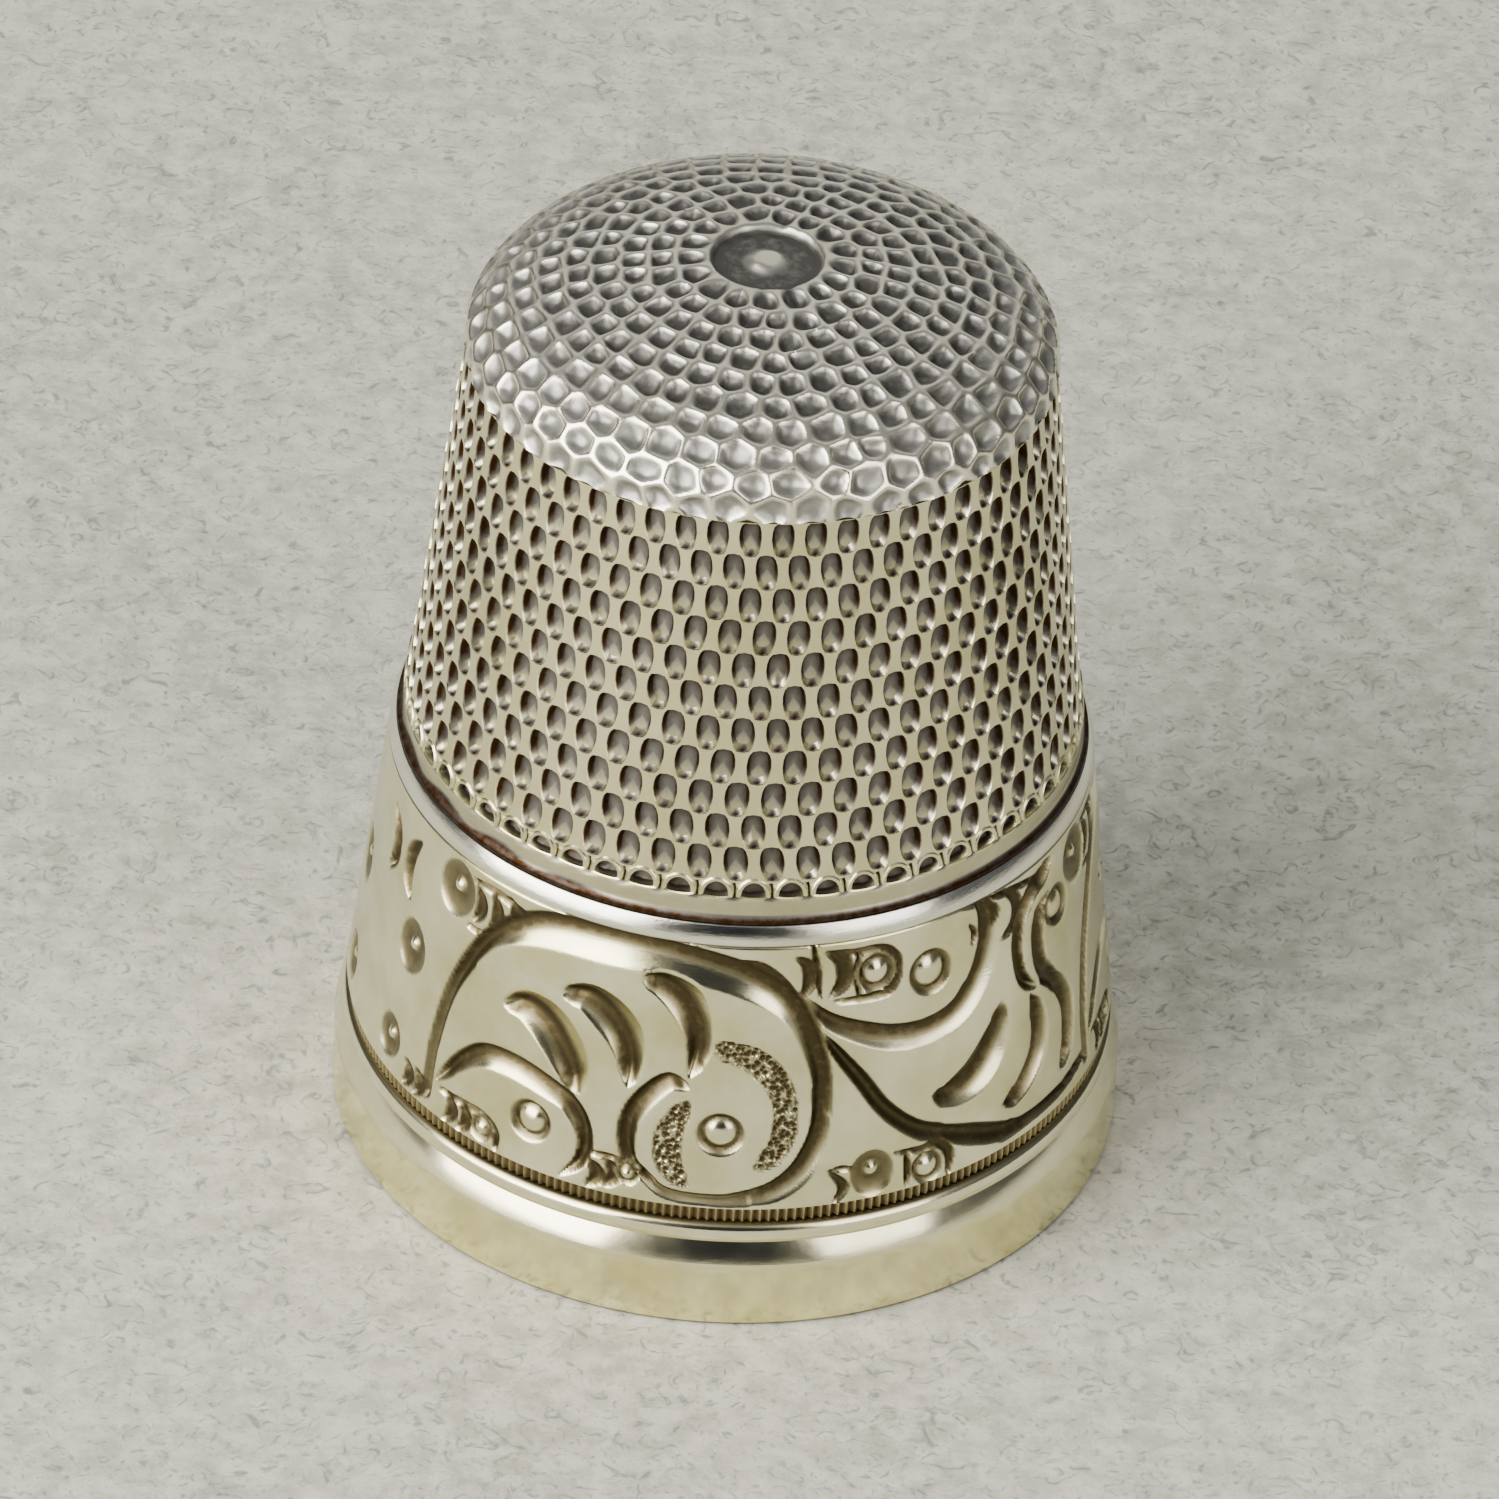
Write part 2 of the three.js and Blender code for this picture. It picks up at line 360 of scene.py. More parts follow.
KNURLS = 58  # dimples in each row
ROWS = 11
ROUND_ROW = 0.5  # height of the row of half-round dimples under the others
KNURL_BOTTOM = 11.62
WALL_FOOT_RADIUS = 8.05
WALL_TOP_RADIUS = CROWN_RADIUS - 0.05
KNURL_DEPTH = 0.2
NOTCH_DEPTH = 0.09  # between the feet of the half-round dimples
BULGE = 0.07  # in rows
SPOKES = 16
DARKER_SIDE = 62  # degrees to the left of the front


def wall_radius(z):
    """The wall's outside at a height on its knurled stretch."""
    share = (z - KNURL_BOTTOM) / (WALL_TOP - KNURL_BOTTOM)
    return WALL_FOOT_RADIUS + (WALL_TOP_RADIUS - WALL_FOOT_RADIUS) * share


def tile_border(height, foot_wave=1):
    """Sixteen points round one tile, a knurl wide, that match the tiles of a row shifted by half a knurl. The
    border bulges where a dimple is and draws in between two."""
    x = np.array([0.5, 0.5, 0.5, 0.25, 0, -0.25, -0.5, -0.5, -0.5, -0.5, -0.5, -0.25, 0, 0.25, 0.5, 0.5])
    y = np.array([0, 0.25, 0.5, 0.5, 0.5, 0.5, 0.5, 0.25, 0, -0.25, -0.5, -0.5, -0.5, -0.5, -0.5, -0.25])
    bulge = BULGE * np.cos(2 * math.pi * x) * np.sign(y) * np.where(y < 0, foot_wave, 1) * np.abs(2 * y)
    return np.stack([x, y * height + bulge, 0 * x], -1)


def dimple_loop(wide, high, depth):
    """Sixteen points on an upright oval, square-shouldered and a little narrower at its foot."""
    turn = np.radians(np.arange(SPOKES) * 360 / SPOKES)
    x = wide * np.sign(np.cos(turn)) * np.abs(np.cos(turn)) ** 0.58
    y = high * np.sign(np.sin(turn)) * np.abs(np.sin(turn)) ** 0.9
    return np.stack([x * (1 + 0.12 * np.minimum(y, 0) / high), y, np.full(SPOKES, depth)], -1)


def arch_loop(wide, high, depth, foot):
    """Sixteen points on a half-round arch that stands on a level foot."""
    turn = np.radians(np.arange(SPOKES) * 360 / SPOKES)
    up = np.where(np.sin(turn) > 0, high, 0.12 * high) * np.sin(turn)
    return np.stack([wide * np.cos(turn), foot + up, np.full(SPOKES, depth)], -1)


def tile(name, loops, floor, count):
    """A row of knurls, each a circle put on its tile's border, extruded inwards loop by loop and closed at
    its floor."""
    bpy.ops.object.select_all(action="DESELECT")
    bpy.ops.mesh.primitive_circle_add(vertices=SPOKES, radius=1)
    piece = added(name)
    start = points_of(piece)
    order = np.rint(np.degrees(np.arctan2(start[:, 1], start[:, 0])) / (360 / SPOKES)).astype(int) % SPOKES
    for vertex, spoke in zip(piece.data.vertices, order):
        vertex.co = loops[0][spoke]
    bpy.ops.object.mode_set(mode="EDIT")
    bpy.ops.mesh.select_all(action="SELECT")
    for previous, following in zip(loops, loops[1:]):
        bpy.ops.mesh.extrude_edges_move()
        mesh = bmesh.from_edit_mesh(piece.data)
        for vertex in mesh.verts:
            if vertex.select:
                spoke = int(np.argmin(np.linalg.norm(previous - np.array(vertex.co), axis=1)))
                vertex.co = following[spoke]
        bmesh.update_edit_mesh(piece.data)
    bpy.ops.mesh.extrude_edges_move()
    bpy.ops.mesh.merge(type="CENTER")
    mesh = bmesh.from_edit_mesh(piece.data)
    for vertex in mesh.verts:
        if vertex.select:
            vertex.co.z = floor
    bmesh.update_edit_mesh(piece.data)
    bpy.ops.mesh.select_all(action="SELECT")
    bpy.ops.mesh.normals_make_consistent(inside=False)
    bpy.ops.object.mode_set(mode="OBJECT")
    if piece.data.polygons[0].normal.z < 0:
        piece.data.flip_normals()
    repeated(piece, count, (1, 0, 0))
    return piece


def repeated(piece, count, step):
    """Copies a tile a number of times, each a step from the last, and joins them at their borders."""
    copies = piece.modifiers.new("copies", "ARRAY")
    copies.count = count
    copies.use_relative_offset = False
    copies.use_constant_offset = True
    copies.constant_offset_displace = step
    copies.use_merge_vertices = True
    copies.merge_threshold = 0.001
    bpy.context.view_layer.objects.active = piece
    bpy.ops.object.modifier_apply(modifier=copies.name)


def wall_piece():
    """Rows of knurls laid out flat, a knurl wide and a row high, then wrapped round the wall and closed with
    the cove below, the seams and the bore."""
    deep = KNURL_DEPTH
    loops = [
        tile_border(1.0),
        dimple_loop(0.35, 0.545, 0.0),
        dimple_loop(0.325, 0.52, -0.3 * deep),
        dimple_loop(0.25, 0.42, -0.9 * deep),
    ]
    full = tile("knurled_wall", loops, -deep, KNURLS)
    repeated(full, ROWS, (0.5, 1, 0))
    pitch = (WALL_TOP - KNURL_BOTTOM - ROUND_ROW) / ROWS
    low = ROUND_ROW / pitch
    notched = tile_border(low, foot_wave=0)
    between_feet = (np.abs(notched[:, 0]) > 0.4) & (notched[:, 1] < 0.3 * low)
    notched[:, 2] = np.where(between_feet, -NOTCH_DEPTH, 0)
    arches = [
        notched,
        arch_loop(0.485, low * 0.97, 0.0, -low * 0.37),
        arch_loop(0.44, low * 0.9, 0.04, -low * 0.36),
        arch_loop(0.34, low * 0.72, 0.02, -low * 0.33),
        arch_loop(0.28, low * 0.58, -0.85 * deep, -low * 0.27),
    ]
    small = tile("half_round_row", arches, -deep, KNURLS)
    for vertex in small.data.vertices:
        vertex.co.x -= 0.5
        vertex.co.y -= 0.5 + low / 2
    bpy.ops.object.select_all(action="DESELECT")
    small.select_set(True)
    full.select_set(True)
    bpy.context.view_layer.objects.active = full
    bpy.ops.object.join()

    flat = points_of(full)
    top = flat[:, 1] > ROWS - 1  # the upper half of the top row ends on a level line
    along = np.cos(2 * math.pi * (flat[:, 0] - 0.5 * (ROWS - 1)))
    flat[:, 1] = np.where(top, ROWS - 1 + (flat[:, 1] - ROWS + 1) * 0.5 / (0.5 + BULGE * along), flat[:, 1])
    # No two knurls are quite as deep.
    wobble = np.random.default_rng(5).normal(1, 0.09, (ROWS + 3, KNURLS + ROWS + 3))
    cell = wobble[np.clip(np.floor(flat[:, 1] + 1.5).astype(int), 0, ROWS + 1),
                  np.clip(np.floor(flat[:, 0] + 1.5).astype(int), 0, KNURLS + ROWS)]
    depth = np.where(flat[:, 2] < -deep / 2, flat[:, 2] * cell, flat[:, 2])
    sunk = -flat[:, 2] / deep
    lower_side_highlight = ramp((np.rint(flat[:, 1]) - flat[:, 1]) * (flat[:, 1] > -0.5), 0.1, 0.4)
    # Walls hold the most oxide, then the floors of the half-round row. The walls' lower sides hold less, as a
    # painted highlight where the lower lip catches light.
    floor = np.where(flat[:, 1] > -0.5 - BULGE, 0.5, 0.7)
    stain = np.interp(sunk, [0, 0.3, 0.9], [0, 1.15, 0.85])
    paint(full, "hollow", np.where(sunk > 0.95, floor, stain * (1 - 0.7 * lower_side_highlight)))
    z = KNURL_BOTTOM + ROUND_ROW + (flat[:, 1] + 0.5) * pitch
    degrees = flat[:, 0] * 360 / KNURLS
    degrees += 0.3 * np.sin(z * 1.7 + 3 * np.radians(degrees))
    move_points(full, round_z(wall_radius(z) + depth, degrees, z))

    bpy.ops.object.mode_set(mode="EDIT")
    bpy.ops.mesh.select_all(action="SELECT")
    bpy.ops.mesh.remove_doubles(threshold=0.002 * MM)
    bpy.ops.object.mode_set(mode="OBJECT")
    # The plain cove: a short drop from the knurls to a fold, and a quarter round out to its lip.
    fold = (WALL_FOOT_RADIUS + 0.03, KNURL_BOTTOM - 0.36)
    lip = COVE_RADIUS - 0.06
    cove = line((WALL_FOOT_RADIUS, KNURL_BOTTOM), fold, 4)
    cove += arc(lip, fold[1], lip - fold[0], fold[1] - COVE_BOTTOM - 0.04, 180, 270, 7)[1:]
    rows = cove + [(lip, COVE_BOTTOM), (bore(COVE_BOTTOM), COVE_BOTTOM)]
    rows += line((bore(COVE_BOTTOM), COVE_BOTTOM), (bore(WALL_TOP), WALL_TOP), 6)
    carry_on(full, KNURL_BOTTOM, rows)

    done = points_of(full) / MM
    outside = np.hypot(done[:, 0], done[:, 1]) > bore(done[:, 2]) + 0.1
    layer = full.data.attributes["hollow"].data
    hollow = np.empty(len(done), np.float32)
    layer.foreach_get("value", hollow)
    turn = np.arctan2(done[:, 0], -done[:, 1])
    # The crevice over the bead is darker, in blots, on the left.
    left_blots = ramp(np.cos(turn + math.radians(DARKER_SIDE)), 0.6, 1) * (0.55 + 0.45 * np.sin(turn * 23))
    crevice = 0.24 + 0.71 * ramp(COVE_BOTTOM + 0.17 + 0.16 * left_blots - done[:, 2], 0, 0.1)
    hollow = np.where(done[:, 2] < KNURL_BOTTOM - 0.04, crevice, hollow) * outside
    layer.foreach_set("value", hollow.astype(np.float32))
    return full


def carry_on(piece, low, rows):
    """Extrudes the open lower edge through rows of (radius, z) and closes it to the open upper edge."""
    bpy.ops.object.select_all(action="DESELECT")
    piece.select_set(True)
    bpy.context.view_layer.objects.active = piece
    bpy.ops.object.mode_set(mode="EDIT")
    bpy.ops.mesh.select_mode(type="EDGE")
    bpy.ops.mesh.select_all(action="DESELECT")
    mesh = bmesh.from_edit_mesh(piece.data)
    for edge in mesh.edges:
        edge.select = edge.is_boundary and max(v.co.z for v in edge.verts) < (low + 0.1) * MM
    bmesh.update_edit_mesh(piece.data)
    for radius, z in rows:
        bpy.ops.mesh.extrude_edges_move()
        mesh = bmesh.from_edit_mesh(piece.data)
        for vertex in mesh.verts:
            if vertex.select:
                share = radius * MM / math.hypot(vertex.co.x, vertex.co.y)
                vertex.co = (vertex.co.x * share, vertex.co.y * share, z * MM)
        bmesh.update_edit_mesh(piece.data)
    bpy.ops.mesh.select_all(action="DESELECT")
    mesh = bmesh.from_edit_mesh(piece.data)
    for edge in mesh.edges:
        edge.select = edge.is_boundary
    bmesh.update_edit_mesh(piece.data)
    bpy.ops.mesh.bridge_edge_loops()
    bpy.ops.mesh.select_all(action="SELECT")
    bpy.ops.mesh.normals_make_consistent(inside=False)
    bpy.ops.object.mode_set(mode="OBJECT")


# ---------------------------------------------------------------- bead, milled wire and foot

REEDS = 276
REED_COLUMNS = 6
REED_DEPTH = 0.1


def bead_piece():
    """The half-round bead, bright on its face and dark in its seams."""
    seat_radius = BEAD_RADIUS - 0.2
    low, high = (BEAD_RADIUS, BEAD_BOTTOM + 0.04), (BEAD_RADIUS - 0.165, BEAD_TOP - 0.015)
    outline = [(BEAD_RADIUS - 0.02, BEAD_BOTTOM), low]
    share = np.linspace(0, 1, 19)[1:]  # the bead's rounded face, steep at its foot and flat at its top
    outline += [(low[0] + (high[0] - low[0]) * t ** 1.7, low[1] + (high[1] - low[1]) * t) for t in share]
    outline += [(seat_radius, BEAD_TOP)] + line((seat_radius, BEAD_TOP), (bore(BEAD_TOP), BEAD_TOP), 2)
    outline += line((bore(BEAD_TOP), BEAD_TOP), (bore(BEAD_BOTTOM), BEAD_BOTTOM), 2)
    outline += line((bore(BEAD_BOTTOM), BEAD_BOTTOM), (BEAD_RADIUS - 0.02, BEAD_BOTTOM), 2)[:-1]
    piece, radius, degrees, z = turned("half_round_bead", outline, 360)
    outside = radius > seat_radius - 0.05
    paint(piece, "hollow", outside * np.maximum(0.9 * ramp(z, BEAD_TOP - 0.03, BEAD_TOP),
                                                0.4 * ramp(BEAD_BOTTOM + 0.04 - z, 0, 0.04)))
    return piece


def wire_piece():
    """The milled wire: upright reeds, six columns of the mesh to each, oxidised between."""
    low, high = WIRE_BOTTOM, WIRE_TOP
    start = WIRE_RADIUS - 0.03
    outline = [(start, low)] + line((WIRE_RADIUS, low + 0.05), (WIRE_RADIUS, high - 0.05), 4)
    outline += [(start, high)] + line((start, high), (bore(high), high), 2) + [(bore(low), low)]
    piece, radius, degrees, z = turned("reeded_wire", outline, REEDS * REED_COLUMNS)
    reed = (0.5 - 0.5 * np.cos(np.radians(degrees) * REEDS)) ** 0.8
    outside = radius > WIRE_RADIUS - REED_DEPTH
    move_points(piece, round_z(radius - REED_DEPTH * reed * outside, degrees, z))
    paint(piece, "hollow", np.clip(reed * 0.6 + 0.38, 0, 1) * outside)
    return piece


def foot_piece():
    """The plain foot: a rounded lower edge, an upright flank, a slope, and a small bead under the wire."""
    edge, flank_top, fold = 0.14, (FOOT_RADIUS - 0.015, 1.78), (9.25, 2.34)
    bead_seat, bead_middle, bead_reach = 9.14, 2.58, 0.19
    outline = arc(FOOT_RADIUS - edge, edge, edge, edge, 270, 360, 6)
    outline += line((FOOT_RADIUS, edge), flank_top, 8)
    share = np.linspace(0, 1, 13)[1:]  # a slope that leans in more and more, up to the fold under the bead
    outline += [(flank_top[0] + (fold[0] - flank_top[0]) * (0.75 * t + 0.25 * t * t),
                 flank_top[1] + (fold[1] - flank_top[1]) * t) for t in share]
    outline += arc(bead_seat, bead_middle, bead_reach, FOOT_TOP - bead_middle, -45, 90, 18)
    outline += line((bead_seat, FOOT_TOP), (bore(FOOT_TOP), FOOT_TOP), 3)
    outline += line((bore(FOOT_TOP), FOOT_TOP), (MOUTH_RADIUS, 0), 4)
    outline += line((MOUTH_RADIUS, 0), (FOOT_RADIUS - edge, 0), 3)[:-1]
    piece, radius, degrees, z = turned("plain_foot", outline, 360)
    outside = radius > bore(z) + 0.2
    # Oxide in the seam under the wire, and painted contact shade along the lower edge where the foot stands on the
    # paper.
    seams_and_contact_shade = np.maximum(0.8 * ramp(z, FOOT_TOP - 0.12, FOOT_TOP), ramp(0.13 - z, 0, 0.1))
    paint(piece, "hollow", seams_and_contact_shade * outside)
    paint(piece, "rubbed", 0.3 * ramp(z, flank_top[1] - 0.03, flank_top[1] + 0.03) * outside)
    return piece


# ---------------------------------------------------------------- chased band

BAND_TOP_RADIUS = BEAD_RADIUS
MM_PER_DEGREE = math.radians(1) * (BAND_RADIUS + BAND_TOP_RADIUS) / 2
CUT_DEPTH = 0.22
GOUGE_DEPTH = 0.28
FINE_DEPTH = 0.12
PUNCH_DEPTH = 0.05
MATTED_DEPTH = 0.07
FINE_WIDTH, FINE_WIDENING = 0.24, 1.25  # narrower flanks are widened, so that the mesh can hold them
SMALL_BEAD = {"groove": 0.1, "depth": 0.13, "rise": 0.05}
OXIDE_START, OXIDE_END = 0.12, 0.46  # how far oxide reaches up a wide flank from the valley, in mm
VALLEY_ROUND = 0.6  # how far from the valley line its bottom is rounded, as a share of the flank
VALLEY_EDGE = math.hypot(1, VALLEY_ROUND)
REPEAT = 120  # degrees from one pair of lobes to the next

# Each cut is a run of (degrees, z, width to the left, width to the right) along its valley, left and right as
# the graver travels. Widths fall to almost nothing where a cut runs out.
RISING_LOBE = [(-50, 3.7, .16, .12), (-49.8, 5.2, .17, .14), (-47.3, 7.1, .17, .18), (-41, 8.95, .18, .35),
               (-32, 10, .2, .72), (-20, 10.3, .16, .85), (-7, 10.2, .18, .8), (4, 9.7, .22, .7),
               (11, 8.8, .22, .5), (14.8, 7.2, .22, .3), (15, 5.7, .25, .18), (12.5, 4.6, .45, .15),
               (8.5, 3.95, .42, .13), (3.5, 3.65, .2, .12), (-1, 3.55, .12, .12), (-8, 3.65, .12, .12),
               (-12, 4.2, .1, .1)]
FALLING_LOBE = [(15.3, 8, .04, .04), (17.4, 7.5, .12, .12), (21.5, 6.6, .17, .17), (25.5, 5.65, .18, .18),
                (31, 4.85, .2, .2), (37.5, 4.35, .28, .26), (41, 4.12, .32, .3), (46, 3.8, .3, .25),
                (51, 3.68, .14, .14), (61, 3.7, .12, .12), (67, 3.85, .12, .12), (70, 3.95, .05, .05)]
UPPER_SCROLL = [(12.5, 9, .05, .05), (16, 8.45, .12, .25), (21, 8.05, .16, .4), (27, 7.72, .18, .5),
                (33, 7.62, .2, .5), (38.5, 7.85, .22, .55), (42.3, 8.5, .25, .6), (44.3, 9.2, .26, .55),
                (44.6, 9.9, .2, .4), (43, 10.35, .08, .15), (40, 10.45, .04, .04)]
SMALL_LOBE = [(-48.5, 4.2, .04, .04), (-45, 5.05, .12, .3), (-40, 5.8, .15, .45), (-34, 6, .15, .5),
              (-28, 5.8, .18, .4), (-23, 5.4, .2, .25), (-20.8, 4.7, .2, .15), (-21.3, 4, .18, .1),
              (-24, 3.45, .04, .04)]
HOOK = [(-5.6, 6.6, .08, .06), (-8.2, 6.75, .28, .12), (-11.2, 6.35, .35, .15), (-13.6, 5.7, .3, .18),
        (-14.3, 5, .2, .18), (-13.2, 4.3, .15, .14), (-9.5, 3.85, .08, .08)]
FAR_SCROLL = [(62, 10.2, .04, .04), (59, 9.95, .22, .3), (56, 9.75, .25, .32), (53, 9.35, .22, .2),
              (51.5, 8.7, .18, .15), (52, 7.9, .15, .15), (53.5, 7.4, .15, .15), (56, 7.1, .04, .04)]
FAR_SCROLL_INNER = [(60.5, 9.35, .04, .04), (57.5, 8.9, .22, .25), (56.8, 8.2, .25, .25),
                    (57.5, 7.6, .25, .25), (59, 7.2, .22, .22), (62, 6.9, .04, .04)]
INNER_GOUGES = [
    [(-36.8, 7.35, .02, .02), (-33, 7.55, .45, .35), (-29.3, 7.35, .7, .5), (-26.3, 6.85, .75, .45),
     (-24.3, 6.3, .55, .3), (-23.2, 5.75, .04, .04)],
    [(-26.6, 8.3, .02, .02), (-22.8, 8.4, .4, .3), (-19.3, 8.15, .6, .45), (-16.4, 7.65, .65, .4),
     (-14.9, 7, .4, .25), (-14.6, 6.35, .04, .04)],
    [(-13.6, 9.3, .02, .02), (-10.2, 9.2, .4, .3), (-7, 8.85, .6, .4), (-5, 8.3, .5, .35),
     (-4.3, 7.6, .35, .2), (-5.3, 6.85, .04, .04)],
]
OUTER_GOUGES = [
    [(33.3, 5.6, .02, .02), (37.5, 5.52, .4, .38), (42.3, 5.78, .58, .55), (45.7, 6.4, .5, .5),
     (47.8, 7.35, .03, .03)],
    [(54.5, 7, .03, .03), (55.9, 6.2, .32, .26), (55.5, 5.5, .38, .3), (53.5, 5, .38, .3),
     (50.5, 4.6, .28, .25), (47, 4.45, .03, .03)],
    [(57, 7.1, .03, .03), (61, 6.8, .25, .22), (63.8, 6.1, .32, .26), (64.4, 5.5, .34, .28),
     (63.5, 4.7, .26, .24), (61.5, 4.2, .03, .03)],
]
LOBE_CUTS = [
    [(-47, 4.1, .04, .04), (-42, 4.13, .08, .08), (-38, 4.1, .1, .1), (-35.6, 3.85, .1, .1),
     (-35.2, 3.45, .06, .06)],
    [(-46, 10.1, .04, .04), (-40, 10.12, .08, .08), (-33.5, 9.95, .04, .04)],
    [(-46, 8.82, .04, .04), (-43, 8.82, .08, .08), (-40, 8.95, .04, .04)],
    [(-20, 4.3, .04, .04), (-16, 4.3, .07, .07), (-12, 4.15, .04, .04)],
    [(1, 10.08, .03, .03), (5, 9.92, .12, .1), (8.5, 9.5, .12, .1), (11.2, 9.05, .04, .04)],
]
SCROLL_CUTS = [
    [(10.5, 10.15, .03, .03), (12.5, 9.9, .16, .14), (12.8, 9.45, .16, .14), (11.3, 9.0, .03, .03)],
    [(13.4, 10.45, .04, .04), (14.1, 9.75, .09, .09), (14.7, 9.05, .04, .04)],
    [(15.3, 10.2, .03, .03), (18, 9.95, .19, .17), (18.4, 9.4, .19, .17), (16, 8.98, .03, .03)],
    [(15.5, 10.22, .04, .04), (20, 10.12, .08, .08), (25, 10.08, .1, .1), (27.2, 9.75, .13, .13),
     (27.2, 9.2, .13, .13), (25, 8.86, .1, .1), (17, 8.86, .04, .04)],
    [(21, 10.08, .04, .04), (20.6, 9.5, .09, .09), (21, 8.88, .04, .04)],
    [(44.6, 10.35, .03, .03), (47, 9.95, .1, .12), (46.3, 9.45, .03, .03)],
    [(48.5, 10.35, .03, .03), (51.7, 9.9, .16, .16), (51.2, 9.35, .16, .14), (47.8, 9.02, .03, .03)],
    [(44, 10.4, .04, .04), (50, 10.25, .08, .08), (57, 10.1, .04, .04)],
    [(41.3, 9.9, .03, .03), (42.2, 9.65, .08, .08), (41.6, 9.35, .03, .03)],
    [(16.5, 4.22, .03, .03), (18.8, 3.75, .12, .12), (17.4, 3.35, .03, .03)],
    [(16.5, 4.2, .03, .03), (18.5, 4.25, .06, .06), (20.3, 4.2, .03, .03)],
    [(28.8, 4.3, .03, .03), (29.1, 3.85, .09, .09), (28.8, 3.4, .03, .03)],
    [(27, 4.37, .04, .04), (31, 4.28, .08, .08), (34.4, 4.25, .1, .1), (36.3, 3.9, .12, .12),
     (36, 3.4, .05, .05)],
]
# Nicks are (degrees, z). Bosses and beads are (degrees, z, radius), and eyes are (degrees, z, half width, half
# height). The LOBE_ lists and NICKS go with the large lobe, and the SCROLL_ lists with the scrolls.
NICKS = [(-44.4, 9.5), (-40.9, 9.55), (-37.2, 9.7), (-41.8, 3.72), (-44.8, 3.72), (-18.9, 3.75), (-16.2, 3.85)]
LOBE_BOSSES = [(-29.7, 4.6, .4), (0, 5.35, .42)]
SCROLL_BOSSES = [(33.5, 9.08, .46), (24, 9.45, .37), (62.8, 8.8, .4)]
LOBE_BEADS = [(-38.2, 3.75, .24), (-13.6, 3.95, .2)]
SCROLL_BEADS = [(32.4, 3.75, .33)]
LOBE_EYES = [(-49.7, 9.55, .68, .75)]
SCROLL_EYES = [(23.3, 4, .55, .62)]
MATTED = [
    [(-5.2, 6.1, .08, .08), (-7, 5.6, .28, .28), (-7.9, 5, .36, .36), (-7.4, 4.4, .33, .33),
     (-5.2, 3.95, .1, .1)],
    [(0, 7.65, .2, .2), (4, 7.45, .34, .34), (7.5, 6.95, .36, .36), (9.6, 6.2, .32, .32), (9.6, 5.4, .32, .32),
     (8.2, 4.85, .25, .25), (5.6, 4.45, .06, .06)],
]

# The plain panel, with two leaf cuts on it and an upright row of eyes at each end.
PANEL_LEAVES = [
    [(-72, 9.75, .03, .03), (-69.5, 9.25, .22, .2), (-69.2, 8.6, .22, .2), (-71.2, 8.0, .03, .03)],
    [(-60.6, 9.8, .03, .03), (-63.2, 9.25, .2, .22), (-63.5, 8.6, .2, .22), (-61.6, 8.05, .03, .03)],
]
PANEL_NICKS = [(-52.3, 3.75), (-55.2, 3.75), (-95.6, 3.75), (-98.5, 3.75)]
PANEL_EYES = [(-61.3, 4.2, .5, .6), (-59, 7, .6, .75), (-84, 7, .6, .75), (-81.7, 4.2, .5, .6),
              (-97.5, 9.5, .62, .72)]


